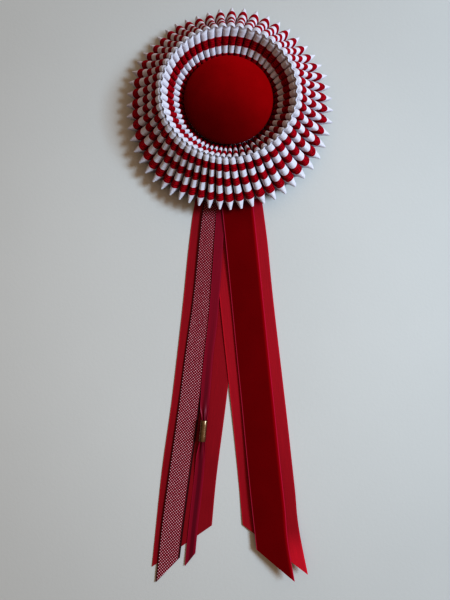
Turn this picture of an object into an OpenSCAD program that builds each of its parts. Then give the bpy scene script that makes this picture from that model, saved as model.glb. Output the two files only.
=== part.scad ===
// A pleated ribbon rosette, lying on its back, with five ribbon tails, a velvet button and a
// brooch pin. The origin is on the table, under the middle of the rosette. The tails run to -Y.

/* [Pleated ring] */
// Number of pleats round the ring
pleats = 55; // [50:1:60]
// Diameter over the points of the pleats
rim_d = 165; // [163:0.5:167]
// Height of the pleats' points above the table
rim_h = 8.3; // [8:0.1:9]
// Diameter of the wavy crest, where the outer and the inner ribbon meet
crest_d = 100.6; // [99.6:0.2:101.6]
// Height of the crest above the table
crest_h = 33; // [32:0.25:35]
// How far the crest waves to each side of its middle line
crest_wave = 1.3; // [0.9:0.1:1.4]
// How far the ring is lifted where it crosses the tails
tail_lift = 6; // [5.9:0.1:6.6]
// How far round the inner ribbon's folds lean between the crest and the button, in pleats
cup_lean = 0.6; // [0:0.1:0.8]

/* [Ribbons] */
// Thickness of a ribbon
wall = 1; // [1:0.01:1.03]
// Clearance between one ribbon and the next
gap = 0.2; // [0.16:0.01:0.22]
// Width of the two wide red tails
wide_w = 41.6; // [41:0.1:42]
// Width of the mesh tail
mesh_w = 16.8; // [16:0.2:17.2]
// Width of the narrow tail
narrow_w = 7; // [6.6:0.1:7.2]
// Width of the velvet tail
velvet_w = 25; // [24:0.25:25.5]

/* [Button and back] */
// Diameter of the velvet button
button_d = 70; // [68:0.5:70.5]
// Height of the top of the button above the table
button_top = 28.5; // [26:0.5:31]
// Diameter of the card disc
disc_d = 84; // [70:1:88]
// Thickness of the card disc
disc_t = 2; // [1.5:0.1:2.1]
// Length of the brooch pin
pin_len = 34; // [26:1:40]
// Diameter of the gold tube
tube_d = 5.8; // [5.6:0.1:6]
// Length of the gold tube
tube_len = 15.6; // [12:0.2:18]

/* [Hidden] */

// A layer is one ribbon with its clearance. The disc lies on five layers of ribbon.
layer = wall + gap;
disc_z = 5 * layer;
disc_top = disc_z + disc_t;
crest_r = crest_d / 2;
rim_r = rim_d / 2;
button_r = button_d / 2;
tube_r = tube_d / 2;

// Points along one pleat in each row of the ring
pleat_steps = 7;
// The uneven spacing of the pleats: degrees, and the angle where each wave starts
// Columns: waves round the ring, size, start
spacing = [[1, 4.3, -46], [2, 1.2, 24], [3, 1.1, 150]];
first_pleat = 6.6;
// The tails lie under the ring to each side of this angle
tails_at = 270;
lift_full = 15;
lift_none = 42;
// Share of the lift that the ridges take
ridge_lift = 0.6;

// Half thickness of a wall, along the slope's own square direction
skirt_nr = 0.63;
skirt_nz = 0.77;
// How far the points of the pleats are closed, from the ridge down
tip_fill = 4.2;
// Height of a ribbon wall at the crest, where it is cut upright
crest_cut = 1.4;

// How much tighter the back of a wall is folded than its face
function back_pinch(pinch, r) = max(-0.95, pinch - wall * pleats / r);

// Rows of the outer ribbon's face, from the crest to the points. A positive pinch closes the
// valleys and rounds the ridges, and a negative one sharpens the ridges.
// Columns: ridge radius, ridge height, valley radius, valley height, pinch, share of lift, lean
skirt_face = [
    [crest_r + crest_wave + gap / 2, crest_h, crest_r - crest_wave + gap / 2, crest_h - 1,
        0, 0, 0],
    [58.2, crest_h - 4.4, 53.6, crest_h - 7.8, 0.6, 0.1, 0],
    [rim_r - 4.6, rim_h + 3.5, 72.3, 5.2, 0.8, 0.75, 0],
    [rim_r, rim_h, 76.3, 0.66, -0.75, 1, 0]];

// The same rows on the back of the outer ribbon
skirt_back = [
    [skirt_face[0][0], crest_h - crest_cut, skirt_face[0][2], crest_h - 1 - crest_cut, 0, 0, 0],
    behind(skirt_face[1], wall),
    behind(skirt_face[2], wall),
    behind(skirt_face[3], tip_fill)];

function behind(row, ridge_wall) = [
    row[0] - skirt_nr * ridge_wall, row[1] - skirt_nz * ridge_wall,
    row[2] - skirt_nz * wall, row[3] - skirt_nr * wall,
    back_pinch(row[4], row[2]), row[5], row[6]];

// Rows of the inner ribbon's face, from the crest down to the hem on the disc
cup_face = [
    [crest_r + crest_wave - gap / 2, crest_h, crest_r - crest_wave - gap / 2, crest_h - 1,
        0, 0, 0],
    [37.5, 18, 35.9, 19.6, -0.5, 0, cup_lean],
    [27.6, disc_top + gap + wall, 26.6, disc_top + gap + wall + 0.5, -0.2, 0, cup_lean]];

// The same rows on the back of the inner ribbon
cup_back = [
    [cup_face[0][0], crest_h - crest_cut, cup_face[0][2], crest_h - 1 - crest_cut, 0, 0, 0],
    [38.3, 17.3, 36.7, 18.8, 0.5, 0, cup_lean],
    [28.4, disc_top + gap, 27.4, disc_top + gap + 0.4, 0.2, 0, cup_lean]];

function wave_sum(u, i = 0) =
    i == len(spacing) ? 0 : spacing[i][1] * sin(spacing[i][0] * u + spacing[i][2]) + wave_sum(u, i + 1);

// Angle of a place counted in pleats round the ring
function ring_angle(place) = let (u = 360 * place / pleats) first_pleat + u + wave_sum(u);

// Share of the lift at an angle: all of it over the tails, none away from them
function lift_share(angle) =
    let (off = abs(angle - tails_at), t = min(1, max(0, (lift_none - off) / (lift_none - lift_full))))
    t * t * (3 - 2 * t);

function pleat_point(row, place) =
    let (
        f = (1 + cos(360 * place)) / 2,
        angle = ring_angle(place + row[6] + row[4] * sin(360 * place) / (2 * PI)),
        r = row[2] + (row[0] - row[2]) * f,
        lift = tail_lift * row[5] * lift_share(angle % 360) * (1 + (ridge_lift - 1) * f),
        z = row[3] + (row[1] - row[3]) * f + lift)
    [r * cos(angle), r * sin(angle), z];

function reversed(list) = [for (i = [len(list) - 1:-1:0]) list[i]];

// A closed pleated shell. Its section runs down the outer rows and back up the inner rows.
module pleated_shell(outer, inner) {
    rows = concat(outer, reversed(inner));
    across = len(rows);
    around = pleats * pleat_steps;
    points = [for (j = [0:around - 1]) for (row = rows) pleat_point(row, j / pleat_steps)];
    faces = [for (j = [0:around - 1]) for (q = [0:across - 1])
        let (j2 = (j + 1) % around, q2 = (q + 1) % across)
        for (face3 = [[j * across + q, j2 * across + q, j2 * across + q2],
            [j * across + q, j2 * across + q2, j * across + q2]]) face3];
    polyhedron(points = points, faces = faces, convexity = 10);
}

// A ribbon laid through rows of left and right edge points, one wall thick.
// Columns: left x, left y, left height, right x, right y, right height
module laid_ribbon(rows) {
    last = len(rows) - 1;
    points = [for (row = rows) for (corner = [
        [row[0], row[1], row[2] + wall], [row[3], row[4], row[5] + wall],
        [row[3], row[4], row[5]], [row[0], row[1], row[2]]]) corner];
    sides = [for (i = [0:last - 1]) for (q = [0:3])
        let (a = 4 * i + q, b = 4 * i + (q + 1) % 4)
        for (face3 = [[a, b + 4, a + 4], [a, b, b + 4]]) face3];
    ends = [[2, 1, 0], [3, 2, 0], [4 * last, 4 * last + 1, 4 * last + 2],
        [4 * last, 4 * last + 2, 4 * last + 3]];
    polyhedron(points = points, faces = concat(sides, ends), convexity = 4);
}

// One level row of a ribbon from its left edge, width, place along Y and two heights
function level(x, w, y, left_z, right_z) = [x, y, left_z, x + w, y, right_z];

// The gathered end of every tail lies under the disc, between these two places
tail_end_y = -14;
tail_neck_y = -44;
// Width across the slant of a tail for a given width of ribbon
function slanted(w) = w / cos(6.4);

// The gold tube lies on the left red tail, over the narrow tail
tube_x = -18.6;
tube_y = -244.4;
tube_run = 1.6;
tube_wall = 0.3;
tube_neck_w = 3.8;
tube_z = wall + gap + tube_r;
// Height of the ribbon's underside in the tube
tube_floor = tube_z - sqrt(pow(tube_r - tube_wall - 0.1, 2) - pow(tube_neck_w / 2, 2));

tail_red_left_rows = [
    level(-12, 27, tail_end_y, 0, 0),
    level(-15, 28, tail_neck_y, 0, 0),
    level(-24.5, 37, -64, 0, 0),
    level(-27.6, slanted(wide_w), -80, 0, 0),
    level(-30.6, slanted(wide_w), -104, 0, 0),
    level(-35.2, slanted(wide_w), -152, 0, 0),
    level(-43.6, slanted(wide_w), -230, 0, 0),
    level(-51.1, slanted(wide_w), -287, 0, 0),
    [-57.4, -352.9, 0, -12.7, -323, 0]];

tail_red_right_rows = [
    level(-12, 27, tail_end_y, layer, layer),
    level(-12, 28, tail_neck_y, layer, layer),
    level(-13, 33, -64, layer, layer),
    level(-13.8, slanted(wide_w), -78, layer, layer),
    level(-11.4, slanted(wide_w), -104, layer, layer - 0.2),
    level(-7.6, slanted(wide_w), -145, layer + 0.3, 0.6),
    level(-0.6, slanted(wide_w), -210, layer + 0.2, 0.1),
    level(3.2, slanted(wide_w), -245, 0.2, 0),
    level(8.2, slanted(wide_w), -296, 0, 2),
    [10.6, -321.7, 0.4, 53.2, -329, 5],
    [11, -322.7, 0.5, 57.8, -354.5, 9]];

tail_mesh_rows = [
    level(-10, 15, tail_end_y, 2 * layer, 2 * layer),
    level(-13, 15, tail_neck_y, 2 * layer, 2 * layer),
    level(-20.3, mesh_w, -78, 2 * layer, 2 * layer),
    level(-23.3, mesh_w, -104, 1.9 * layer, 2.2 * layer),
    level(-25.4, mesh_w, -126, 1.5 * layer, 2.3 * layer),
    level(-28.1, mesh_w, -152, layer, layer + 0.4),
    level(-33.9, mesh_w, -195, layer, layer),
    level(-38.1, mesh_w, -230, layer, layer),
    level(-46, mesh_w, -288, layer, layer),
    level(-51.2, mesh_w, -328, layer, layer),
    [-54.6, -364, layer, -36.6, -346, layer]];

tail_narrow_rows = [
    level(-4, narrow_w, tail_end_y, 3 * layer, 3 * layer),
    level(-6, narrow_w, tail_neck_y, 3 * layer, 3 * layer),
    level(-9.3, narrow_w, -80, 3 * layer, 3 * layer),
    level(-11, narrow_w, -104, 3.2 * layer, 3.2 * layer),
    level(-12.4, narrow_w, -126, 3.3 * layer, 3.3 * layer),
    level(-14.3, narrow_w, -152, 2.5 * layer, 2.4 * layer),
    level(-15.8, narrow_w, -170, 2.2 * layer, 2.1 * layer),
    level(-18.8, narrow_w, -195, 2.1 * layer, 2 * layer),
    level(-21.3, narrow_w, -230, 2.1 * layer, 2 * layer),
    level(tube_x - tube_neck_w / 2 + 0.1, tube_neck_w, tube_y + 0.4, tube_floor, tube_floor),
    level(tube_x - tube_neck_w / 2 - tube_run, tube_neck_w, tube_y - tube_len - 0.4,
        tube_floor, tube_floor),
    level(-26, narrow_w, -286, layer, layer),
    level(-30.8, narrow_w, -330, layer, layer),
    [-32.9, -352.4, layer, -25, -342.9, layer]];

tail_velvet_rows = [
    level(-10, 22, tail_end_y, 4 * layer, 4 * layer),
    level(-8, 23, tail_neck_y, 4 * layer, 4 * layer),
    level(-5.1, velvet_w, -80, 4.3 * layer, 2.6 * layer),
    level(-2.6, velvet_w, -104, 4.2 * layer, 2 * layer),
    level(2.1, velvet_w, -152, 2.5 * layer, 1.7 * layer),
    level(6.2, velvet_w, -195, 2.3 * layer, 1.6 * layer),
    level(9.7, velvet_w, -230, 2.1 * layer, 1.7 * layer),
    level(13.6, velvet_w, -272, 2 * layer, 3),
    level(17.2, velvet_w, -308, 2.7, 5.2),
    [20.6, -338, 4.6, 45.3, -342, 9],
    [20.7, -338.6, 4.7, 48, -359, 11]];

module outer_skirt() {
    color("firebrick") pleated_shell(skirt_face, skirt_back);
}

module inner_cup() {
    color("white") pleated_shell(cup_back, cup_face);
}

// The button's dome is part of a round, over a rolled edge. Its underside follows the cup.
button_edge_z = 20.5;
button_edge_r = 1.8;
button_base_z = disc_top + gap + wall + 1.6;
button_base_r = 27.35;

// The place where a line from a point meets the lower outer side of a round
function tangent_point(from, centre, r) =
    let (
        d = centre - from,
        length = sqrt(d * d - r * r),
        angle = atan2(d[1], d[0]) - asin(r / norm(d)))
    from + length * [cos(angle), sin(angle)];

module velvet_button() {
    edge = [button_r - button_edge_r, button_edge_z];
    base = [button_base_r, button_base_z];
    rise = button_top - button_edge_z - button_edge_r;
    dome_r = (pow(edge[0], 2) + pow(rise, 2)) / (2 * rise);
    color("darkred") rotate_extrude($fn = 96) {
        polygon([[0, base[1]], base, tangent_point(base, edge, button_edge_r), edge,
            edge + [0, button_edge_r], [0, edge[1] + button_edge_r]]);
        translate(edge) circle(r = button_edge_r, $fn = 32);
        intersection() {
            translate([0, button_top - dome_r]) circle(r = dome_r, $fn = 180);
            translate([0, edge[1]]) square([edge[0], button_top]);
        }
    }
}

module back_disc() {
    color("gainsboro") translate([0, 0, disc_z]) cylinder(h = disc_t, r = disc_d / 2, $fn = 96);
}

// Bar, two end blocks and the wire between them
pin_w = 5;
pin_bar_t = 0.8;
pin_block = 4;
pin_wire_d = 1.2;
pin_wire_z = 1.6;

module brooch_pin() {
    bar_z = disc_z - gap - pin_bar_t;
    block_z = 0.5;
    color("silver") {
        translate([-pin_len / 2, -pin_w / 2, bar_z]) cube([pin_len, pin_w, pin_bar_t]);
        for (side = [-1, 1]) translate([side * (pin_len - pin_block) / 2, 0, block_z])
            translate([-pin_block / 2, -pin_block / 2, 0])
                cube([pin_block, pin_block, bar_z - block_z + pin_bar_t / 2]);
        translate([-pin_len / 2 + pin_block / 2, 0, pin_wire_z]) rotate([0, 90, 0])
            cylinder(h = pin_len - pin_block, d = pin_wire_d, $fn = 24);
    }
}

module tail_red_left() {
    color("firebrick") laid_ribbon(tail_red_left_rows);
}

module tail_red_right() {
    color("firebrick") laid_ribbon(tail_red_right_rows);
}

module tail_mesh() {
    color("palevioletred") laid_ribbon(tail_mesh_rows);
}

module tail_narrow() {
    color("maroon") laid_ribbon(tail_narrow_rows);
}

module tail_velvet() {
    color("darkred") laid_ribbon(tail_velvet_rows);
}

module gold_tube() {
    color("goldenrod") translate([tube_x, tube_y, tube_z]) rotate([90, 0, -atan(tube_run / tube_len)])
        difference() {
            cylinder(h = tube_len, r = tube_r, $fn = 48);
            translate([0, 0, -1]) cylinder(h = tube_len + 2, r = tube_r - tube_wall, $fn = 48);
        }
}

outer_skirt();
inner_cup();
velvet_button();
back_disc();
brooch_pin();
tail_red_left();
tail_red_right();
tail_mesh();
tail_narrow();
tail_velvet();
gold_tube();
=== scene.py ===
"""A pleated ribbon rosette that lies on its back: striped grosgrain folded into organ pipes round
a velvet button, with five ribbon tails. Sizes in the tables are millimetres; the scene is metres."""
import math
from collections import namedtuple

import bpy
import numpy as np
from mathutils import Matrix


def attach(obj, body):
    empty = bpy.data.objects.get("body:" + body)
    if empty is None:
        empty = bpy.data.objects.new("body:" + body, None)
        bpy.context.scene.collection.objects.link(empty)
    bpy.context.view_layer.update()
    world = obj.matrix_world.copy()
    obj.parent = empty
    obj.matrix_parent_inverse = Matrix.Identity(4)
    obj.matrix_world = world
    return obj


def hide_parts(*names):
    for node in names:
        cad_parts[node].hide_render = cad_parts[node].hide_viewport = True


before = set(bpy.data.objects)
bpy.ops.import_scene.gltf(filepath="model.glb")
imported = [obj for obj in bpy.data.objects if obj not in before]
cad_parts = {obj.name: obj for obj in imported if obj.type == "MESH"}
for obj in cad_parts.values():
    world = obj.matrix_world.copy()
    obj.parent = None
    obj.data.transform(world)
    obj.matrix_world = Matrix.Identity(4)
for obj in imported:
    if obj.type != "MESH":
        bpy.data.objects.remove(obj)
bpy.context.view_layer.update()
bpy.ops.object.select_all(action="DESELECT")

MM = 0.001
CHANCE = np.random.default_rng(55)


# Camera, light and table

# Where the photo was taken from in metres, how far the view tips up from straight down in degrees,
# and the lens in millimetres for a picture that is 36 mm high
EYE = (-0.00276, -0.180, 0.3529)
TIPPED = 4.46
LENS = 27.06
LENS_PICTURE = 36.0


def camera_at_photo_angle():
    lens = bpy.data.cameras.new("photo_lens")
    lens.sensor_fit = "VERTICAL"
    lens.sensor_height = LENS_PICTURE
    lens.lens = LENS
    lens.clip_start = 0.01
    camera = bpy.data.objects.new("photo_camera", lens)
    bpy.context.scene.collection.objects.link(camera)
    camera.location = EYE
    camera.rotation_euler = (math.radians(TIPPED), 0, 0)
    bpy.context.scene.camera = camera


def window_light(name, place, aim, size, power, colour):
    """A square soft light at a place, turned to a point on the table."""
    lamp = bpy.data.lights.new(name, "AREA")
    lamp.shape = "SQUARE"
    lamp.size = size
    lamp.energy = power
    lamp.color = colour
    light = bpy.data.objects.new(name, lamp)
    bpy.context.scene.collection.objects.link(light)
    away = np.array(place, float) - np.array(aim, float)
    flat = math.hypot(away[0], away[1])
    light.location = place
    light.rotation_euler = (math.atan2(flat, away[2]), 0, math.atan2(away[0], -away[1]))


def room_light(colour, mean, towards, slant, least):
    """Soft light from all round. It is brighter than its mean from one side of the room and darker from
    the other by slant, and nowhere under least."""
    world = bpy.data.worlds.new("room")
    bpy.context.scene.world = world
    world.use_nodes = True
    nodes, links = world.node_tree.nodes, world.node_tree.links
    background = nodes["Background"]
    background.inputs["Color"].default_value = (*colour, 1)
    output = nodes.new("ShaderNodeTexCoord").outputs["Generated"]
    for kind, operation, values in (
            ("ShaderNodeVectorMath", "DOT_PRODUCT", (np.array(towards, float) / np.linalg.norm(towards),)),
            ("ShaderNodeMath", "MULTIPLY_ADD", (mean * slant, mean)),
            ("ShaderNodeMath", "MAXIMUM", (least,))):
        step = nodes.new(kind)
        step.operation = operation
        links.new(output, step.inputs[0])
        for number, value in enumerate(values, 1):
            step.inputs[number].default_value = value
        output = step.outputs["Value"]
    links.new(output, background.inputs["Strength"])


# Finishes

def maths(operation, turned=False):
    """A method that works a wire out with another value. turned puts the other value first."""
    def method(wire, *others):
        values = (*others, wire) if turned else (wire, *others)
        return wire.finish.node("ShaderNodeMath", {"operation": operation}, dict(enumerate(values)))
    return method


class Wire:
    """A node's output that takes plain arithmetic."""

    def __init__(self, finish, socket):
        self.finish, self.socket = finish, socket

    __add__ = __radd__ = maths("ADD")
    __sub__ = maths("SUBTRACT")
    __rsub__ = maths("SUBTRACT", turned=True)
    __mul__ = __rmul__ = maths("MULTIPLY")
    least = maths("MINIMUM")
    most = maths("MAXIMUM")
    sine = maths("SINE")
    size = maths("ABSOLUTE")


class Finish:
    """A material made of nodes. Constants are set on the shader's own sockets."""

    def __init__(self, name, colour, **constants):
        self.material = bpy.data.materials.new(name)
        self.material.use_nodes = True
        self.tree = self.material.node_tree
        self.shader = self.tree.nodes["Principled BSDF"]
        self.shader.inputs["Base Color"].default_value = (*colour, 1)
        self.material.diffuse_color = (*colour, 1)
        for words, value in constants.items():
            socket = self.shader.inputs[words.replace("_", " ").title().replace("Ior", "IOR")]
            socket.default_value = value

    def put(self, socket, value):
        if isinstance(value, Wire):
            self.tree.links.new(value.socket, socket)
        elif socket.type == "RGBA" and len(value) == 3:
            socket.default_value = (*value, 1)
        else:
            socket.default_value = value

    def node(self, kind, settings=None, sockets=None, out=0):
        """Adds a node of a kind, sets it, then links or fills its sockets."""
        made = self.tree.nodes.new(kind)
        for key, value in (settings or {}).items():
            setattr(made, key, value)
        for key, value in (sockets or {}).items():
            self.put(made.inputs[key], value)
        return Wire(self, made.outputs[out])

    def mix(self, share, colour_a, colour_b):
        return self.node("ShaderNodeMix", {"data_type": "RGBA"}, {0: share, 6: colour_a, 7: colour_b}, out=2)

    def scaled(self, colour, share):
        """A colour wire made lighter or darker by a value wire."""
        return self.node("ShaderNodeVectorMath", {"operation": "SCALE"}, {0: colour, 3: share})

    def across_along(self):
        """Distance across and along a ribbon in millimetres, from its UV map."""
        uv = self.node("ShaderNodeUVMap", {"uv_map": "ribbon"})
        split = self.tree.nodes.new("ShaderNodeSeparateXYZ")
        self.tree.links.new(uv.socket, split.inputs[0])
        return Wire(self, split.outputs[0]) * 1000, Wire(self, split.outputs[1]) * 1000

    def spot(self):
        """The place on the object, in metres."""
        return self.node("ShaderNodeTexCoord", out=3)

    def noise(self, scale, detail=2.0, roughness=0.5, where=None):
        return self.node("ShaderNodeTexNoise", None, {
            "Vector": where or self.spot(), "Scale": scale, "Detail": detail, "Roughness": roughness})

    def joined(self, x, y):
        return self.node("ShaderNodeCombineXYZ", None, {0: x, 1: y})

    def smooth(self, value, low, high):
        return self.node("ShaderNodeMapRange", {"interpolation_type": "SMOOTHSTEP"},
                         {"Value": value, "From Min": low, "From Max": high})

    def colour(self, wire):
        self.put(self.shader.inputs["Base Color"], wire)

    def roughness(self, wire):
        self.put(self.shader.inputs["Roughness"], wire)

    def relief(self, height, strength, distance):
        self.put(self.shader.inputs["Normal"], self.node("ShaderNodeBump", None, {
            "Height": height, "Strength": strength, "Distance": distance}))


def tinted(colour, share):
    """A plain colour made lighter or darker."""
    return tuple(part * share for part in colour)


def cords(place, pitch):
    """Rounded cords side by side, 0 between them and 1 on top."""
    return (place * (math.pi / pitch)).sine().size()


# Distances in millimetres: between the ribs across each ribbon, between the lengthwise cords of the
# striped one, and from the middle to the side of the soft line where its colours turn
STRIPED_RIB = 0.62
PLAIN_RIB = 0.7
SATIN_RIB = 0.45
VELVET_EDGE_RIB = 0.6
STRIPED_CORD = 1.45
COLOUR_TURN = 0.12


def striped_grosgrain(name, edges, white, red, painted_fold_shade):
    """Ribbon woven in lengthwise bands. edges are the distances across where the colour turns, and the last
    argument is how much painted shade darkens the cloth deep in its folds, away from the crest."""
    finish = Finish(name, white, roughness=0.8, specular_ior_level=0.06)
    across, along = finish.across_along()
    wobble = (finish.noise(900, 1) - 0.5) * 0.16
    band = None
    for number, edge in enumerate(edges):
        step = finish.smooth(across + wobble, edge - COLOUR_TURN, edge + COLOUR_TURN)
        step = step * (1.0 if number % 2 == 0 else -1.0)
        band = step if band is None else band + step
    ribs = cords(along, STRIPED_RIB)
    weft = cords(across + wobble * 2, STRIPED_CORD)
    mottle = finish.noise(260, 3)
    threads = finish.noise(1.0, 2, 0.6, finish.joined(along * 2.2, across * 0.35))
    speckle = finish.smooth(finish.noise(620, 1), 0.35, 0.65)
    white_cloth = finish.mix(threads * 0.25 + mottle * 0.25 + weft * 0.2 + speckle * 0.3,
                             tinted(white, 0.78), tinted(white, 1.05))
    red_cloth = finish.mix(weft * 0.6 + speckle * 0.4, tinted(red, 0.2), tinted(red, 1.5))
    cloth = finish.mix(band, white_cloth, red_cloth)
    # Painted shade deep in the folds, by how deep in its fold each point lies
    crease = finish.smooth(finish.node("ShaderNodeAttribute", {"attribute_name": "crease"}, out=2), 0.5, 0.95)
    crease = crease * finish.smooth(across, 1.2, 5)
    finish.colour(finish.scaled(cloth, (ribs * 0.2 + 0.8) * (1 - crease * painted_fold_shade)))
    finish.roughness(mottle * 0.15 + 0.75)
    finish.relief(ribs * (1 - band * 0.45) + weft * band * 0.9 + threads * 0.3, 0.8, 0.00012)
    return finish.material


def plain_grosgrain(name, red, width, curl_highlight=0.0):
    """Single-coloured ribbon with close ribs across it and a woven selvage on both edges. Painted shade
    darkens it a little along its length, and the last argument is how much painted highlight lightens its
    curled end."""
    finish = Finish(name, red, roughness=0.6, specular_ior_level=0.16)
    across, along = finish.across_along()
    edge = finish.smooth(across.least(width - across), 1.3, 0.5)
    ribs = cords(along, PLAIN_RIB)
    warp = finish.noise(1.0, 3, 0.65, finish.joined(across * 2.6, along * 0.05))
    mottle = finish.noise(45, 3)
    cloth = finish.mix(warp, tinted(red, 0.72), tinted(red, 1.3))
    cloth = finish.mix(edge * 0.8, cloth, tinted(red, 1.35))
    # Painted shade further along the ribbon, and painted highlight where its end curls up
    low = finish.smooth(along, 180, 310) * 0.14
    end = finish.smooth(along, 312, 336) * curl_highlight
    finish.colour(finish.scaled(cloth, ribs * 0.14 + mottle * 0.12 + 0.8 - low + end))
    finish.roughness(mottle * 0.16 + 0.5)
    finish.relief(ribs * (1 - edge) + warp * 0.5 + edge * 0.9, 0.55, 0.00008)
    return finish.material


# Distance between the threads of the net in millimetres, measured straight along or across the ribbon
NET_PITCH = 2.2


def mesh_ribbon(name, width):
    """Crimson ribbon under a net of pinkish metal thread laid at both slants."""
    # The last colour is a near-black painted shadow along both edges
    ground, hollow, painted_edge_shadow = (0.38, 0.001, 0.028), (0.08, 0.0, 0.005), (0.05, 0.0, 0.003)
    finish = Finish(name, ground, roughness=0.5, specular_ior_level=0.25)
    across, along = finish.across_along()
    drift = (finish.noise(60, 1) - 0.5) * 0.4
    one = cords(across + along + drift, NET_PITCH)
    two = cords(across - along - drift, NET_PITCH)
    net = finish.smooth(one, 0.5, 0.1).most(finish.smooth(two, 0.5, 0.1))
    knot = finish.smooth(one + two, 1.0, 0.45)
    # Painted shadow along both edges of the ribbon
    bare = finish.smooth(width - across, 1.2, 1.7) * finish.smooth(across, 0.5, 1.1)
    # Painted glints: the knots lighten in random spots and more further along the ribbon
    glint = finish.smooth(finish.noise(1.0, 1, 0.5, finish.joined(across * 0.9, along * 0.9)), 0.36, 0.66)
    low = finish.smooth(along, 110, 250)
    thread = finish.mix(knot * (glint * 0.45 + 0.4 + low * 0.3), (0.4, 0.006, 0.04), (1.0, 0.88, 0.88))
    under = finish.mix(one.least(two), ground, hollow)
    finish.colour(finish.mix(bare, painted_edge_shadow, finish.mix(net.most(knot), under, thread)))
    finish.roughness(0.6 - net * bare * 0.22)
    finish.relief((net + knot * 0.5) * bare + (1 - bare) * 0.4, 0.8, 0.00022)
    return finish.material


def satin_ribbon(name, wine, width):
    """Smooth ribbon with fine lengthwise lines, a lighter cord down both edges and, further along, a
    darker middle."""
    finish = Finish(name, wine, roughness=0.42, specular_ior_level=0.22)
    across, along = finish.across_along()
    edge = finish.smooth(across.least(width - across), 0.9, 0.3)
    lines = finish.noise(1.0, 3, 0.6, finish.joined(across * 3.4, along * 0.04))
    middle = finish.smooth((across - width * 0.55).size(), width * 0.3, width * 0.12)
    far = finish.smooth(along, 120, 250)
    cloth = finish.mix(lines, tinted(wine, 0.8), tinted(wine, 1.2))
    cloth = finish.mix(middle * far * 0.75, cloth, (wine[0] * 0.42, wine[1] * 0.4, wine[2] * 0.55))
    cloth = finish.mix(edge * 0.6, cloth, (wine[0] * 1.4, wine[1] * 1.8, wine[2] * 1.8))
    finish.colour(cloth)
    finish.roughness(lines * 0.12 + 0.38)
    finish.relief(cords(along, SATIN_RIB) * 0.4 + lines + edge, 0.4, 0.00005)
    return finish.material


def velvet(name, deep, lit, ribbon_width=None):
    """Cut pile: dark face on, lighter where it turns away, with brushed patches. On a ribbon both edges have
    a corded selvage, and the right edge is lighter with painted highlight. On the button, painted light makes
    its upper right lighter and painted shade its lower left darker."""
    finish = Finish(name, deep, roughness=0.9, sheen_weight=0.6, sheen_roughness=0.35,
                    sheen_tint=(0.7, 0.0, 0.005, 1), specular_ior_level=0.02)
    brushed = finish.noise(38, 3, 0.6)
    pile = finish.noise(2600, 2, 0.7)
    cloth = finish.mix(brushed, deep, lit)
    cloth = finish.scaled(cloth, pile * 0.5 + 0.75)
    if ribbon_width:
        across, along = finish.across_along()
        edge = finish.smooth(across.least(ribbon_width - across), 0.85, 0.35)
        # Painted highlight: the right edge and its selvage are lighter
        right = finish.smooth(across, ribbon_width - 3.6, ribbon_width - 0.9)
        cloth = finish.mix(right * right, cloth, (0.32, 0.0, 0.008))
        cloth = finish.mix(edge, cloth, finish.mix(right, (0.42, 0.03, 0.07), (0.52, 0.02, 0.07)))
        finish.relief(pile * (1 - edge) + cords(along, VELVET_EDGE_RIB) * edge * 0.5, 0.6, 0.00012)
    else:
        # Painted light: lighter to the upper right and darker to the lower left
        lean = finish.node("ShaderNodeVectorMath", {"operation": "DOT_PRODUCT"}, {
            0: finish.spot(), 1: (0.52, 0.85, 0.0)}, out=1)
        cloth = finish.scaled(cloth, finish.smooth(lean, -0.036, 0.036) * 1.1 + 0.58)
        finish.relief(pile + brushed * 0.6, 0.5, 0.00015)
    finish.colour(cloth)
    return finish.material


def rolled_brass(name):
    """Thin gold-coloured metal with fine marks round the tube."""
    finish = Finish(name, (0.52, 0.34, 0.17), metallic=1.0, roughness=0.2)
    turned = finish.noise(1.0, 3, 0.6, finish.node("ShaderNodeMapping", None, {
        "Vector": finish.spot(), "Scale": (120, 3000, 120)}))
    worn = finish.noise(420, 3)
    finish.colour(finish.mix(worn, (0.24, 0.15, 0.09), (0.38, 0.26, 0.17)))
    finish.roughness(turned * 0.08 + worn * 0.06 + 0.18)
    finish.relief(turned, 0.6, 0.00012)
    return finish.material


def plated_steel(name):
    finish = Finish(name, (0.6, 0.59, 0.57), metallic=1.0, roughness=0.3)
    worn = finish.noise(300, 4)
    finish.colour(finish.mix(worn, (0.5, 0.49, 0.47), (0.68, 0.67, 0.65)))
    finish.roughness(worn * 0.2 + 0.2)
    finish.relief(finish.noise(1500, 2), 0.2, 0.00003)
    return finish.material


def grey_card(name):
    finish = Finish(name, (0.72, 0.7, 0.66), roughness=0.85, specular_ior_level=0.2)
    fibres = finish.noise(900, 4, 0.7)
    cloud = finish.noise(50, 3)
    finish.colour(finish.mix(fibres * 0.5 + cloud * 0.5, (0.6, 0.58, 0.53), (0.78, 0.76, 0.72)))
    finish.relief(fibres, 0.5, 0.0001)
    return finish.material


def table_paint(name):
    """Plain pale paint, with painted shade that makes it a little darker away from the rosette."""
    finish = Finish(name, (0.64, 0.605, 0.585), roughness=0.8, specular_ior_level=0.15)
    cloud = finish.noise(14, 4, 0.55)
    grain = finish.noise(420, 3, 0.6)
    plain = finish.mix(cloud * 0.7 + grain * 0.3, (0.62, 0.588, 0.568), (0.66, 0.622, 0.602))
    # Painted shade away from the rosette
    far = finish.node("ShaderNodeVectorMath", {"operation": "DISTANCE"}, {
        0: finish.spot(), 1: (0.0, -0.15, 0.0)}, out=1)
    finish.colour(finish.scaled(plain, 1 - finish.smooth(far, 0.1, 0.3) * 0.12))
    finish.relief(grain + cloud, 0.3, 0.0002)
    return finish.material


# Cloth in general

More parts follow.
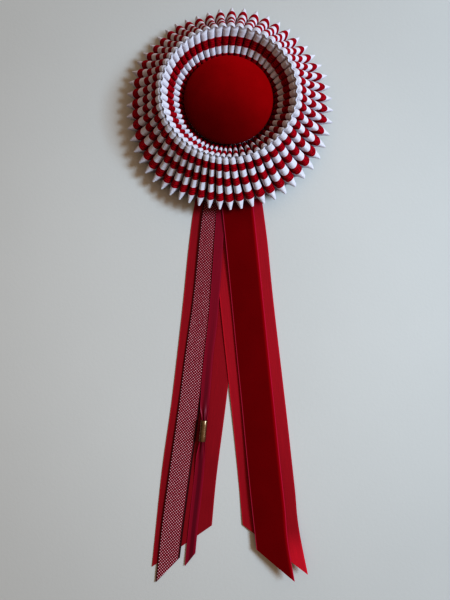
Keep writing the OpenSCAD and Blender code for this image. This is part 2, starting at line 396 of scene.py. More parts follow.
def smooth_curve(at, stations, values):
    """A smooth line through the values of a table at its stations."""
    stations, values = np.asarray(stations, float), np.asarray(values, float)
    slopes = np.gradient(values, stations)
    place = np.clip(np.searchsorted(stations, at, side="right") - 1, 0, len(stations) - 2)
    span = stations[place + 1] - stations[place]
    t = (at - stations[place]) / span
    return ((2 * t**3 - 3 * t**2 + 1) * values[place] + (t**3 - 2 * t**2 + t) * span * slopes[place]
            + (3 * t**2 - 2 * t**3) * values[place + 1] + (t**3 - t**2) * span * slopes[place + 1])


def grid_normals(points, ring):
    """The unit normal at each point of a grid of rows and columns. ring joins the last column to the
    first."""
    if ring:
        side = np.roll(points, -1, axis=1) - np.roll(points, 1, axis=1)
    else:
        side = np.gradient(points, axis=1)
    down = np.gradient(points, axis=0)
    normal = np.cross(side, down)
    return normal / np.maximum(np.linalg.norm(normal, axis=2, keepdims=True), 1e-12)


def cloth(name, face, back, across, along, ring, finish, flip=False, crease=None):
    """Closes the space between a face and a back, both grids of rows and columns in millimetres.
    across gives each row's place on the flat ribbon and along each column's, or each point's. ring
    joins the last column to the first, flip turns the faces round, and crease says how deep in a fold
    each point is, from 0 to 1."""
    rows, columns = face.shape[:2]
    points = np.concatenate([face.reshape(-1, 3), back.reshape(-1, 3)]) * MM
    last = columns if ring else columns - 1
    faces = []

    def add(turned, *corners):
        """Adds faces. Each corner is its row, its column and 0 for the face or 1 for the back."""
        added = np.stack([np.stack(np.broadcast_arrays(*corner), 1) for corner in corners], 1)
        faces.append(added[:, ::-1] if turned else added)

    i, j = (grid.ravel() for grid in np.meshgrid(np.arange(rows - 1), np.arange(last), indexing="ij"))
    for side in (0, 1):
        add(side == 1, (i, j, side), (i, j + 1, side), (i + 1, j + 1, side), (i + 1, j, side))
    j = np.arange(last)
    for row in (0, rows - 1):
        add(row > 0, (row, j + 1, 0), (row, j, 0), (row, j, 1), (row, j + 1, 1))
    if not ring:
        i = np.arange(rows - 1)
        for column in (0, columns - 1):
            add(column > 0, (i + 1, column, 0), (i, column, 0), (i, column, 1), (i + 1, column, 1))
    faces = np.concatenate(faces)
    if flip:
        faces = faces[:, ::-1]
    quads = (faces[..., 2] * rows + faces[..., 0]) * columns + faces[..., 1] % columns
    spots = faces[..., :2]
    mesh = bpy.data.meshes.new(name)
    mesh.from_pydata(points.tolist(), [], quads.tolist())
    layer = mesh.uv_layers.new(name="ribbon")
    spots = spots.reshape(-1, 2)
    run = along[spots[:, 1]] if along.ndim == 1 else along[spots[:, 0], spots[:, 1]]
    layer.data.foreach_set("uv", (np.stack([across[spots[:, 0]], run], 1) * MM).astype(np.float32).ravel())
    if crease is not None:
        deep = mesh.attributes.new("crease", "FLOAT", "POINT")
        deep.data.foreach_set("value", np.tile(crease.ravel(), 2).astype(np.float32))
    mesh.materials.append(finish)
    piece = bpy.data.objects.new(name, mesh)
    bpy.context.scene.collection.objects.link(piece)
    smooth_faces(piece, 50)
    return piece


def choose(piece):
    """Makes a piece the only one selected."""
    bpy.ops.object.select_all(action="DESELECT")
    piece.select_set(True)
    bpy.context.view_layer.objects.active = piece


def smooth_faces(piece, degrees):
    choose(piece)
    bpy.ops.object.shade_smooth_by_angle(angle=math.radians(degrees))
    piece.select_set(False)


# The pleated ribbons

PLEATS = 55
# Angle of the first pleat, and the waves round the ring that space the pleats unevenly: number, size
# and start, all in degrees
FIRST_PLEAT = 6.6
SPACING = ((1, 4.3, -46), (2, 1.2, 24), (3, 1.1, 150))
# How far the ring is lifted over the tails, the angle where they lie, and how far to each side of it
# the ring is lifted all the way and not at all
TAIL_LIFT = 6.0
TAILS_AT, LIFT_FULL, LIFT_NONE = 270, 15, 42


def ring_angle(place):
    """Angle in degrees of a place counted in pleats."""
    u = 360 * place / PLEATS
    return FIRST_PLEAT + u + sum(size * np.sin(np.radians(n * u + start)) for n, size, start in SPACING)


def over_tails(angle):
    """How much the ring is lifted at an angle: 1 over the tails and 0 away from them."""
    away = np.abs(angle % 360 - TAILS_AT)
    t = np.clip((LIFT_NONE - away) / (LIFT_NONE - LIFT_FULL), 0, 1)
    return t * t * (3 - 2 * t)


# The hand-made ring is not even. Columns: angle, how far the rim stands out there, how many pleats the
# crest lags behind the rim, how many pleats the feet stand ahead of the ridges, how far the pleats are
# opened into arches, then against the rows of the two ribbons below the width of the outer pleats, of
# their tips and of the inner ribbon's panels, and how deep the arches are
RIM_OUT, LAG, FEET, ARCHED, SKIRT_WIDE, TIP_WIDE, CUP_WIDE, ARCH_DEEP = range(1, 9)
UNEVEN = np.array([
    (0, 0.4, 0.22, 0.33, 1, 1.05, 0.72, 0.98, 1), (24, -0.8, 0.15, 0.28, 1, 1.07, 0.72, 1.02, 0.95),
    (44, -1.8, 0.1, 0.19, 1, 1.09, 0.72, 1.05, 0.92), (64, -1.3, 0.08, 0.08, 1, 1.07, 0.7, 1.05, 0.86),
    (74, 0.8, 0.03, 0.05, 0.9, 1.05, 0.68, 1.02, 0.76), (88, 0.6, 0, 0.05, 0.75, 1.04, 0.64, 1, 0.64),
    (104, -2.4, 0, 0.08, 0.55, 1.02, 0.68, 0.98, 0.55), (120, -2, 0, 0.05, 0.3, 1, 0.7, 0.95, 0.55),
    (146, -1, 0, -0.08, 0.1, 1, 0.72, 0.92, 0.6), (170, -1.6, 0, -0.15, 0, 1, 0.74, 0.9, 0.6),
    (192, -1.6, 0.05, -0.16, 0, 0.98, 0.76, 0.86, 0.6), (204, 0.2, 0.1, -0.12, 0, 0.95, 0.8, 0.82, 0.6),
    (220, 2.1, 0.2, -0.05, 0, 0.89, 0.86, 0.78, 0.6), (240, 2.2, 0.45, 0.03, 0, 0.8, 0.95, 0.77, 0.6),
    (256, 1.9, 0.52, 0.08, 0, 0.73, 1, 0.77, 0.6), (263, 1.7, 0.6, 0.1, 0, 0.8, 1, 0.77, 0.6),
    (271, 1.6, 0.75, 0.12, 0, 0.86, 1, 0.78, 0.6), (284, 1.3, 0.65, 0.12, 0, 0.87, 1, 0.8, 0.6),
    (300, 1, 0.5, 0.14, 0.1, 0.9, 0.94, 0.84, 0.7), (325, 0.9, 0.42, 0.2, 0.55, 0.97, 0.8, 0.9, 0.85),
    (345, 0.6, 0.3, 0.3, 0.9, 1.03, 0.74, 0.95, 0.95), (360, 0.4, 0.22, 0.33, 1, 1.05, 0.72, 0.98, 1)])


def uneven_at(angle, column):
    """A value of the uneven ring at an angle, smoothed between the table's angles."""
    near = (-6, -3, 0, 3, 6)
    return sum(np.interp((angle + turn) % 360, UNEVEN[:, 0], UNEVEN[:, column]) for turn in near) / len(near)


# Across the outer ribbon, 40 mm wide. Columns: share of the width, ridge radius and height, valley
# radius and height, how far the pleat is a cap on walls and not a plain wave, half width of its cap
# and at its foot in pleats, how far the feet of a closed pleat stand in and down from the ridge, how
# far the valley of one opened into an arch does, share of the lift over the tails
SKIRT_ROWS = np.array([
    (0.000, 50.9, 33.0, 49.8, 32.50, 0.0, 0.43, 0.450, 0.5, 0.6, 0.5, 0.6, 0.00),
    (0.030, 51.8, 32.6, 50.0, 30.20, 0.7, 0.43, 0.450, 0.8, 1.1, 0.9, 1.3, 0.01),
    (0.070, 52.9, 31.8, 50.2, 28.20, 1.0, 0.42, 0.445, 1.0, 1.3, 1.3, 1.8, 0.03),
    (0.135, 54.9, 30.3, 50.8, 25.40, 1.0, 0.41, 0.435, 1.3, 1.5, 2.1, 1.4, 0.06),
    (0.270, 59.0, 26.7, 52.4, 20.40, 1.0, 0.41, 0.435, 1.9, 1.9, 3.7, 1.2, 0.16),
    (0.405, 62.9, 22.9, 54.8, 15.80, 1.0, 0.41, 0.435, 2.4, 2.1, 5.3, 1.0, 0.30),
    (0.555, 67.4, 19.0, 58.4, 11.30, 1.0, 0.42, 0.440, 2.6, 2.3, 7.0, 1.0, 0.47),
    (0.705, 72.2, 15.4, 63.0, 7.60, 1.0, 0.43, 0.450, 2.7, 2.3, 8.5, 1.0, 0.62),
    (0.852, 77.2, 12.3, 68.0, 4.90, 1.0, 0.44, 0.460, 2.7, 2.2, 10.0, 1.0, 0.78),
    (0.872, 78.0, 11.9, 68.9, 4.60, 1.0, 0.41, 0.440, 2.7, 2.1, 10.2, 1.2, 0.82),
    (0.930, 80.1, 10.8, 71.5, 3.30, 1.0, 0.275, 0.310, 1.9, 1.6, 10.9, 2.0, 0.90),
    (1.000, 82.5, 9.5, 75.0, 0.85, 1.0, 0.085, 0.115, 0.5, 0.6, 12.0, 3.5, 1.00)])
SKIRT_WIDTH = 40.0
# Share of the width where the pointed tips start, and the places across where the colour turns
TIP_START = 0.852
SKIRT_TURNS = [share * SKIRT_WIDTH for share in (0.135, 0.27, 0.405, 0.555, 0.705, TIP_START)]

# Across the part of the inner ribbon that is built. Columns: share of it, radius and height in the
# gaps between the panels, radius and height on the panels, how square the panels are, half width of a
# panel and of its foot in pleats, lean and overhang in pleats
CUP_ROWS = np.array([
    (0.000, 50.7, 33.0, 49.6, 32.5, 0.0, 0.38, 0.45, 0.00, 0.00),
    (0.040, 50.5, 31.0, 48.9, 31.6, 0.6, 0.38, 0.45, 0.02, 0.02),
    (0.100, 49.9, 28.2, 47.7, 30.0, 1.0, 0.385, 0.44, 0.07, 0.04),
    (0.190, 48.8, 25.0, 45.8, 27.5, 1.0, 0.385, 0.44, 0.15, 0.06),
    (0.365, 45.4, 20.2, 42.0, 23.0, 1.0, 0.38, 0.43, 0.28, 0.06),
    (0.553, 40.8, 16.0, 37.6, 18.6, 1.0, 0.365, 0.42, 0.36, 0.05),
    (0.730, 35.6, 12.5, 33.4, 14.3, 1.0, 0.37, 0.42, 0.40, 0.03),
    (0.930, 29.0, 9.6, 28.2, 10.2, 0.6, 0.38, 0.44, 0.42, 0.0),
    (1.000, 27.4, 9.2, 26.9, 9.6, 0.3, 0.40, 0.46, 0.42, 0.0)])
CUP_WIDTH = 33.5
CUP_TURNS = (6.1, 12.5, 17.8, 24.0, 30.0)

RIBBON_THICK = 0.42
# Points from a ridge to the next valley
SAMPLES = 12
# How far down its wall a closed pleat's foot is, and how far the point between foot and valley is:
# down the wall, and on the way across
FOOT_DOWN = 0.85
TURN_DOWN, TURN_ACROSS = 0.95, 0.35
# How far the sides of an arch have turned where they meet the next arch, in degrees, how square its
# top is, and how hollow its sides are where it comes to a point
ARCH_TURN = 64
ARCH_BEND = 0.95
ARCH_HOLLOW = 1.2
# Share of the ribbon's width from which its pleats have their whole uneven width, and from which they
# stray all the way; how much less the feet stand ahead at the points; the ridges' part of the lift
WIDE_FROM, STRAY_FROM = 0.2, 0.25
POINT_FEET = 0.6
RIDGE_LIFT = 0.6


# One row of pleats across a ribbon: half widths of cap and foot in pleats, how far they are caps on
# walls and not a plain wave, how far in and down from the ridge the feet of a closed pleat stand and
# the valley of an arch, how square the cap is, share of the lift over the tails, lean and overhang in
# pleats, share of the way from the crest to the rim, and how much of the feet's and the tips'
# unevenness and of the arches the row has
PLEAT_WORDS = "cap foot rounded closed opened bend lift lean overhang rim feet pointed arches"
PleatRow = namedtuple("PleatRow", PLEAT_WORDS, defaults=[0.0] * 7)


def pleat_law(cap, foot, bend):
    """Half of a closed pleat from its ridge to its valley: how far sideways in pleats, how far down the
    cap, and how far on from the foot of the cap to the valley. The cap takes the first half of the
    points and stands on a steep wall, and the last two turn into the valley."""
    t = np.linspace(0, 1, SAMPLES + 1)
    turn = np.pi / 2 * np.clip(t * 2, 0, 1)
    wall = np.clip((t - 0.5) / (5 / 12), 0, 1) * FOOT_DOWN
    side = cap * np.sin(turn) ** bend + (foot - cap) * wall / FOOT_DOWN
    side[-2], side[-1] = foot + (0.5 - foot) * TURN_ACROSS, 0.5
    wall[-2], wall[-1] = TURN_DOWN, 1.0
    return side, 1 - np.clip(np.cos(turn), 0, 1) ** bend, wall


def arch_law(sharp):
    """Half of a pleat opened into an arch, from its ridge to its valley: how far sideways in pleats, and
    how far down. Its sides still slope where they meet the next pleat's. sharp turns it into a point."""
    place = np.linspace(0, 1, SAMPLES + 1)
    turn = np.radians(ARCH_TURN * place)
    side, down = np.sin(turn) ** ARCH_BEND, 1 - np.cos(turn) ** ARCH_BEND
    side, down = side / side[-1], down / down[-1]
    return 0.5 * between(side, place, sharp), between(down, place ** ARCH_HOLLOW, sharp)


def between(one, other, share):
    return one + (other - one) * share


def pleated(table, places, first, wander, wide, shape):
    """The face of a ring of pleats with a row at each place across the ribbon. The table gives the radii
    and heights of valleys and ridges, and shape makes a PleatRow of the rest of its row. first is
    where the ring starts in pleats, wander is how each pleat strays, and wide is the column of the
    uneven ring that gives the pleats' width."""
    columns = np.arange(PLEATS * 2 * SAMPLES)
    face = np.zeros((len(places), len(columns), 3))
    step = columns % (2 * SAMPLES)
    going_down = step <= SAMPLES
    half = np.where(going_down, step, 2 * SAMPLES - step)
    way = np.where(going_down, 1.0, -1.0)
    whole = columns // (2 * SAMPLES) + np.where(going_down, 0, 1)
    middle = ring_angle(whole + first)
    lag, feet, arched, wider, tip, deep = (
        uneven_at(middle, column) for column in (LAG, FEET, ARCHED, wide, TIP_WIDE, ARCH_DEEP))
    wave = half / SAMPLES
    swell = (1 - np.cos(np.pi * wave)) / 2
    for index, share in enumerate(places):
        valley_r, valley_z, ridge_r, ridge_z, *rest = (
            float(smooth_curve(share, table[:, 0], table[:, k])) for k in range(1, table.shape[1]))
        pleat = shape(rest, share)
        sharp = float(np.clip((share - TIP_START) / (1 - TIP_START), 0, 1))
        side, top, wall = (part[half] for part in pleat_law(pleat.cap, pleat.foot, pleat.bend))
        arch_side, arch_down = (part[half] for part in arch_law(sharp))
        opening = arched * pleat.arches
        width = (1 + (wider - 1) * min(1.0, share / WIDE_FROM)) * (1 + (tip - 1) * pleat.pointed)
        turn_in = 0.5 - (0.5 - pleat.foot * width) * (1 - TURN_ACROSS) * (SAMPLES - half)
        across = between(np.where(half < SAMPLES - 1, side * width, turn_in), arch_side, opening)
        across = between(wave / 2, across, pleat.rounded)
        drops = (valley_r - ridge_r, valley_z - ridge_z)
        moves = []
        for drop, shut, wide_open in zip(drops, pleat.closed, pleat.opened):
            folded = -shut * top + (drop + shut) * wall
            folded = between(folded, -wide_open * deep * arch_down, opening)
            moves.append(between(drop * swell, folded, pleat.rounded))
        down = between(top * 0.5 + wall * 0.5, arch_down, opening)
        ahead = between(top, arch_down, opening) * (1 - POINT_FEET * pleat.pointed * (1 - opening))
        own = wander[whole % PLEATS] * min(1.0, share / STRAY_FROM) * (1 - down)[:, None]
        place = whole + first + pleat.lean + way * across * (1 + own[:, 3])
        place = place + pleat.overhang * (1 - down) + own[:, 0]
        place = place - lag * (1 - pleat.rim) + feet * pleat.feet * ahead
        angle = ring_angle(place)
        lifted = TAIL_LIFT * pleat.lift * over_tails(angle) * between(RIDGE_LIFT, 1, wall)
        r = ridge_r + moves[0] + own[:, 1] + uneven_at(angle, RIM_OUT) * pleat.rim
        z = ridge_z + moves[1] + own[:, 2] + lifted
        face[index] = np.stack([r * np.cos(np.radians(angle)), r * np.sin(np.radians(angle)), z], 1)
    return face


def backed(face, thick, upright, way):
    """The back of a ribbon, square to its face, and straight below it along the first rows."""
    share = np.clip(np.asarray(upright), 0, 1)[:, None, None]
    outward = grid_normals(face, True) * way * (1 - share) + np.array([0, 0, 1.0]) * share
    outward /= np.linalg.norm(outward, axis=2, keepdims=True)
    return face - outward * np.asarray(thick)[:, None, None]


def creases(rows, arches):
    """How deep in its fold each point of a ring of pleats is: 0 on the ridges and 1 in the valleys, for the
    painted shade in the folds. Pleats opened into arches get painted shade only close to their valleys."""
    step = np.arange(PLEATS * 2 * SAMPLES)
    half = np.abs((step + SAMPLES) % (2 * SAMPLES) - SAMPLES)
    arched = uneven_at(ring_angle(step / (2 * SAMPLES)), ARCHED) * arches
    return np.tile((half / SAMPLES) ** (1 + 2.5 * arched), (rows, 1))


def run_length(face):
    """The length of flat ribbon that a ring of pleats takes, by the median of its rows at each column,
    and each column's place on it."""
    steps = np.linalg.norm(np.roll(face, -1, axis=1) - face, axis=2)
    usual = np.median(steps, axis=0)
    return float(usual.sum()), np.concatenate([[0], np.cumsum(usual)])


def wandering(sizes):
    """How each pleat strays: along the ring in pleats, outward, upward and in its width."""
    loose = CHANCE.normal(0, 1, (PLEATS, 4))
    smooth = (loose + np.roll(loose, 1, axis=0) * 0.5 + np.roll(loose, -1, axis=0) * 0.5) / 1.4
    return np.clip(smooth, -1.8, 1.8) * np.array(sizes)


# Rows close together at the crest, where both ribbons are cut upright as far as the share below
CREST_PLACES = [0, 0.015, 0.035, 0.06, 0.095]
UPRIGHT = 0.06
# Thickness at the points of the outer ribbon
TIP_THICK = 0.24


def pleated_skirt(finish):
    """The outer ribbon, from the crest to its points."""
    places = np.concatenate([CREST_PLACES, np.linspace(0.135, 0.83, 16),
                             [TIP_START, 0.861, 0.872, 0.89, 0.915, 0.945, 0.975, 1.0]])
    valley_first = SKIRT_ROWS[:, [0, 3, 4, 1, 2, 5, 6, 7, 8, 9, 10, 11, 12]]

    def shape(values, share):
        rounded, cap, foot, shut_in, shut_down, wide_in, wide_down, lift = values
        return PleatRow(cap, foot, float(np.clip(rounded, 0, 1)), (shut_in, shut_down), (wide_in, wide_down),
                        bend=1.15, lift=lift, rim=share, feet=min(1.0, share / WIDE_FROM),
                        pointed=float(np.clip((share - TIP_START) / 0.02, 0, 1)), arches=1.0)
    face = pleated(valley_first, places, 0.0, wandering((0.02, 0.3, 0.25, 0.08)), SKIRT_WIDE, shape)
    thick = np.interp(places, [0, 0.85, 1], [RIBBON_THICK, RIBBON_THICK, TIP_THICK])
    back = backed(face, thick, np.interp(places, [0, UPRIGHT], [1, 0]), 1)
    long, along = run_length(face)
    piece = cloth("skirt_ribbon", face, back, places * SKIRT_WIDTH, along, True, finish,
                  crease=creases(len(places), 1.0))
    return piece, long


def pleated_cup(finish):
    """The inner ribbon. Its panels stand half a pleat on from the outer ribbon's ridges."""
    places = np.concatenate([CREST_PLACES, np.linspace(0.13, 1, 21)])

    def shape(values, share):
        square, cap, foot, lean, overhang = values
        depth = [-0.5 * float(smooth_curve(share, CUP_ROWS[:, 0], CUP_ROWS[:, k] - CUP_ROWS[:, k + 2]))
                 for k in (1, 2)]
        return PleatRow(cap, foot, float(np.clip(square, 0, 1)), depth, depth,
                        bend=0.95, lean=lean, overhang=overhang)
    face = pleated(CUP_ROWS, places, 0.5, wandering((0.03, 0.25, 0.2, 0.05)), CUP_WIDE, shape)
    back = backed(face, np.full(len(places), RIBBON_THICK), np.interp(places, [0, UPRIGHT], [1, 0]), -1)
    long, along = run_length(face)
    piece = cloth("cup_ribbon", face, back, places * CUP_WIDTH, along, True, finish, flip=True,
                  crease=creases(len(places), 0.0))
    return piece, long


# The tails

# Usual slant of a tail against a line square to its rows, in degrees, least height of an underside,
# and the share of a tail's length from which it lies in ripples and over which they grow
SLANT = 6.4
LOWEST = 0.02
RIPPLES_FROM, RIPPLES_GROW = 0.2, 0.15


def ribbon(name, rows, finish, thick=0.45, pieces=90, columns=14, shape=None):
    """A flat ribbon through rows of left and right edge points, with its underside at the rows'
    heights. shape(c, s, face) changes the face, c across from -1 to 1 and s along from 0 to 1."""
    rows = np.asarray(rows, float)
    left, right = rows[:, :3], rows[:, 3:]
    middle = (left + right) / 2
    places = np.concatenate([[0], np.cumsum(np.linalg.norm(np.diff(middle, axis=0), axis=1))])
    at = np.unique(np.concatenate([np.linspace(0, places[-1], pieces), places]))
    lines = [np.stack([smooth_curve(at, places, side[:, k]) for k in range(3)], 1) for side in (left, right)]
    c = np.linspace(-1, 1, columns + 1)
    share = (c + 1) / 2
    face = lines[0][:, None] * (1 - share)[None, :, None] + lines[1][:, None] * share[None, :, None]
    face[:, :, 2] = np.maximum(face[:, :, 2], 0.0) + thick
    if shape:
        face = shape(c, at / places[-1], face)
    width = np.linalg.norm(lines[1] - lines[0], axis=1)
    normal = grid_normals(face, False)
    normal *= np.sign(normal[:, :, 2:3])
    back = face - normal * thick
    back[:, :, 2] = np.maximum(back[:, :, 2], LOWEST)
    long = float(np.linalg.norm(np.diff(face[:, columns // 2], axis=0), axis=1).sum())
    usual = float(np.median(width)) * math.cos(math.radians(SLANT))
    centre = (lines[0] + lines[1]) / 2
    way = np.gradient(centre, at, axis=0)
    way /= np.linalg.norm(way, axis=1, keepdims=True)
    run = at[:, None] + np.einsum("ijk,ik->ij", face - centre[:, None], way)
    piece = cloth(name, face.transpose(1, 0, 2), back.transpose(1, 0, 2), share * usual, run.T, False, finish,
                  flip=True)
    return piece, usual, long


def ripples(seed, size, edge=0.0):
    """Low waves along a ribbon, and edges that lie a little lower than its middle."""
    own = np.random.default_rng(seed)
    starts, counts = own.uniform(0, 2 * np.pi, 4), own.uniform(1.5, 7, 4)

    def shape(c, s, face):
        free = np.clip((s - RIPPLES_FROM) / RIPPLES_GROW, 0, 1)[:, None]
        wave = sum(np.sin(2 * np.pi * n * s + a) for n, a in zip(counts, starts))[:, None] / 4
        tilt = np.sin(2 * np.pi * counts[0] * 0.6 * s + starts[1])[:, None] * c[None, :]
        face[:, :, 2] += free * (size * (1 + wave + 0.6 * tilt) / 2 + edge * (1 - c[None, :] ** 2))
        return face
    return shape


def row(left, width, y, left_z, right_z=None):
    """The edge points of a ribbon at one place down it."""
    return (left, y, left_z, left + width, y, left_z if right_z is None else right_z)


# How high one ribbon lifts the next, and the width of a wide tail along its rows: it slants, so the
# ribbon is 41.6 mm wide
LAYER = 0.72
WIDE = 41.86
RED_LEFT_ROWS = (
    row(-12, 27, -14, 0), row(-15, 28, -44, 0), row(-24.5, 37, -64, 0), row(-27.6, WIDE, -80, 0),
    row(-30.6, WIDE, -104, 0), row(-35.2, WIDE, -152, 0), row(-43.6, WIDE, -230, 0),
    row(-51.1, WIDE, -287, 0), (-57.4, -352.9, 0, -12.7, -323, 0))
RED_RIGHT_ROWS = (
    row(-12, 29, -14, LAYER), row(-13, 34, -44, LAYER), row(-13.9, 39.4, -64, LAYER),
    row(-13.8, 41.1, -78, LAYER), row(-11.4, WIDE, -104, LAYER, 1.0),
    row(-7.6, WIDE, -145, LAYER, 0.6), row(-0.6, WIDE, -210, LAYER, 0.2), row(3.2, WIDE, -245, 0.2, 0.1),
    row(8.2, WIDE, -296, 0, 1.4), (10.6, -321.7, 0.4, 53.3, -329.5, 3.6),
    (11, -322.7, 0.5, 58.2, -355.6, 6.2))
MESH_ROWS = (
    row(-10, 15, -14, 2 * LAYER), row(-13, 15, -44, 2 * LAYER), row(-20.3, 16.8, -78, 2 * LAYER),
    row(-23.3, 16.8, -104, 1.9 * LAYER, 2.2 * LAYER), row(-25.4, 16.8, -126, 1.5 * LAYER, 2.3 * LAYER),
    row(-28.1, 16.8, -152, LAYER, 1.6 * LAYER), row(-33.9, 16.8, -195, LAYER), row(-38.1, 16.8, -230, LAYER),
    row(-46, 16.8, -288, LAYER), row(-51.2, 16.8, -328, LAYER), (-54.6, -364, 0.5, -36.6, -346, 0.5))
VELVET_ROWS = (
    row(-10, 22, -14, 4 * LAYER), row(-8, 23, -44, 4 * LAYER), row(-5.1, 25, -80, 4.3 * LAYER, 2.6 * LAYER),
    row(-2.6, 25, -104, 4.2 * LAYER, 2.2 * LAYER), row(2.1, 25, -152, 2.5 * LAYER, 1.9 * LAYER),
    row(6.2, 25, -195, 2.3 * LAYER, 1.9 * LAYER), row(9.7, 25, -230, 2.2 * LAYER, 2 * LAYER),
    row(13.6, 25, -272, 2.3 * LAYER, 2.7), row(17.2, 25, -308, 2.4, 4.2),
    (20.6, -338.3, 3.4, 45.4, -343, 6.4), (20.7, -338.9, 3.5, 48.2, -359.6, 8))

# Middles of the gold tube's two ends and its outer radius; how far down the satin ribbon it sits, how
# far to each side of that the ribbon is bunched, how far its fold fades, and how high the fold is
TUBE_TOP, TUBE_LOW = (-18.6, -244.4, 4.1), (-20.2, -260.0, 4.1)
TUBE_RADIUS = 2.82
TUBE_AT, BUNCHED, FADES = -252.3, 8.5, 9
FOLD = 0.65
NARROW_ROWS = (
    row(-4, 7, -14, 3 * LAYER), row(-6, 7, -44, 3 * LAYER), row(-9.3, 7, -80, 3 * LAYER),
    row(-11, 7, -104, 3.3 * LAYER), row(-12.4, 7, -126, 3.5 * LAYER), row(-14.3, 7, -152, 2.6 * LAYER),
    row(-15.8, 7, -170, 2.3 * LAYER), row(-18.8, 7, -195, 2.2 * LAYER), row(-21.3, 7, -225, 2.2 * LAYER),
    row(-21.6, 6.2, -236, 2.5), row(-20.45, 3.9, -243.8, 3.2), row(-22.05, 3.9, -260.6, 3.2),
    row(-24.1, 6.2, -269, 2), row(-26, 7, -286, LAYER), row(-30.8, 7, -330, LAYER),
    (-32.9, -352.4, LAYER, -25, -342.9, LAYER))


def gathered_at_tube(c, s, face):
    """Folds the satin ribbon up along its middle near the tube, with a hollow to each side."""
    away = np.clip(np.abs(face[:, :, 1] - TUBE_AT) - BUNCHED, 0, None)
    face[:, :, 2] += np.exp(-(away / FADES) ** 2) * FOLD * np.cos(c[None, :] * np.pi * 1.5)
    return face


# Button, tube and pin

def modifier(piece, kind, **settings):
    bpy.context.view_layer.objects.active = piece
    made = piece.modifiers.new(kind.lower(), kind)
    for key, value in settings.items():
        setattr(made, key, value)
    bpy.ops.object.modifier_apply(modifier=made.name)


def settle(piece, finish):
    """Puts a finished piece's place in its mesh and gives it its finish."""
    choose(piece)
    bpy.ops.object.transform_apply(location=True, rotation=True, scale=True)
    piece.data.materials.clear()
    piece.data.materials.append(finish)
    smooth_faces(piece, 40)


def edit_all(operation, **values):
    """Runs one editing step on the whole of the active mesh."""
    bpy.ops.object.mode_set(mode="EDIT")
    bpy.ops.mesh.select_all(action="SELECT")
    operation(**values)
    bpy.ops.object.mode_set(mode="OBJECT")


def points_of(mesh):
    points = np.zeros(len(mesh.vertices) * 3)
    mesh.vertices.foreach_get("co", points)
    return points.reshape(-1, 3)


def move_points(mesh, points):
    mesh.vertices.foreach_set("co", points.ravel())
    mesh.update()


def in_metres(values):
    return tuple(value * MM for value in values)


# Radius and height down the button, from the top of the dome to the last ring of its underside
BUTTON_ROWS = ((0.0, 28.5), (6, 28.37), (12, 27.95), (18, 27.2), (23.5, 26.1), (28, 24.7), (31.5, 23.25),
               (33.9, 21.9), (34.9, 20.7), (34.8, 19.7), (33.6, 18.4), (30.5, 14.7), (27.4, 11.2),
               (26.2, 10.82), (18, 10.85))
BUTTON_RADIUS = 35
# The button's upper side starts at this height
UPPER_SIDE = 19.5


def padded_button(finish):
    """The domed button: a disc shaped ring by ring, then rounded and given the pad's unevenness."""
    bpy.ops.mesh.primitive_circle_add(vertices=96, radius=BUTTON_ROWS[1][0] * MM, fill_type="TRIFAN",
                                      location=(0, 0, 0))
    piece = bpy.context.object
    piece.name = "button_cover"
    bpy.ops.object.mode_set(mode="EDIT")
    bpy.ops.mesh.select_all(action="DESELECT")
    bpy.ops.mesh.select_mode(type="VERT")
    bpy.ops.mesh.select_non_manifold(extend=False)
    for (r1, z1), (r2, z2) in zip(BUTTON_ROWS[1:-1], BUTTON_ROWS[2:]):
        bpy.ops.mesh.extrude_region_move(TRANSFORM_OT_translate={"value": (0, 0, (z2 - z1) * MM)})
        bpy.ops.transform.resize(value=(r2 / r1, r2 / r1, 1), center_override=(0, 0, 0))
    bpy.ops.mesh.edge_face_add()
    bpy.ops.mesh.poke()
    bpy.ops.object.mode_set(mode="OBJECT")
    points = points_of(piece.data)
    points[:, 2] += BUTTON_ROWS[1][1] * MM
    middle = np.hypot(points[:, 0], points[:, 1]) < 1e-6
    points[middle & (points[:, 2] > UPPER_SIDE * MM), 2] = BUTTON_ROWS[0][1] * MM
    move_points(piece.data, points)
    choose(piece)
    edit_all(bpy.ops.mesh.normals_make_consistent, inside=False)
    modifier(piece, "SUBSURF", levels=1, render_levels=1)
    pad_unevenness(piece)
    piece.scale = (0.983, 1.014, 1)
    settle(piece, finish)
    return piece


def pad_unevenness(piece):
    """Very low hollows in the padding, deepest between the middle and the edge."""
    points = points_of(piece.data)
    angle = np.arctan2(points[:, 1], points[:, 0])
    out = np.clip(np.hypot(points[:, 0], points[:, 1]) / (BUTTON_RADIUS * MM), 0, 1)
    low = 0.22 * np.sin(3 * angle + 0.7) + 0.16 * np.sin(5 * angle + 2.1) + 0.1 * np.sin(8 * angle)
    deep = (0.22 + low) * MM * out ** 2 * (1 - out ** 6)
    points[:, 2] -= np.where(points[:, 2] > UPPER_SIDE * MM, deep, 0)
    move_points(piece.data, points)


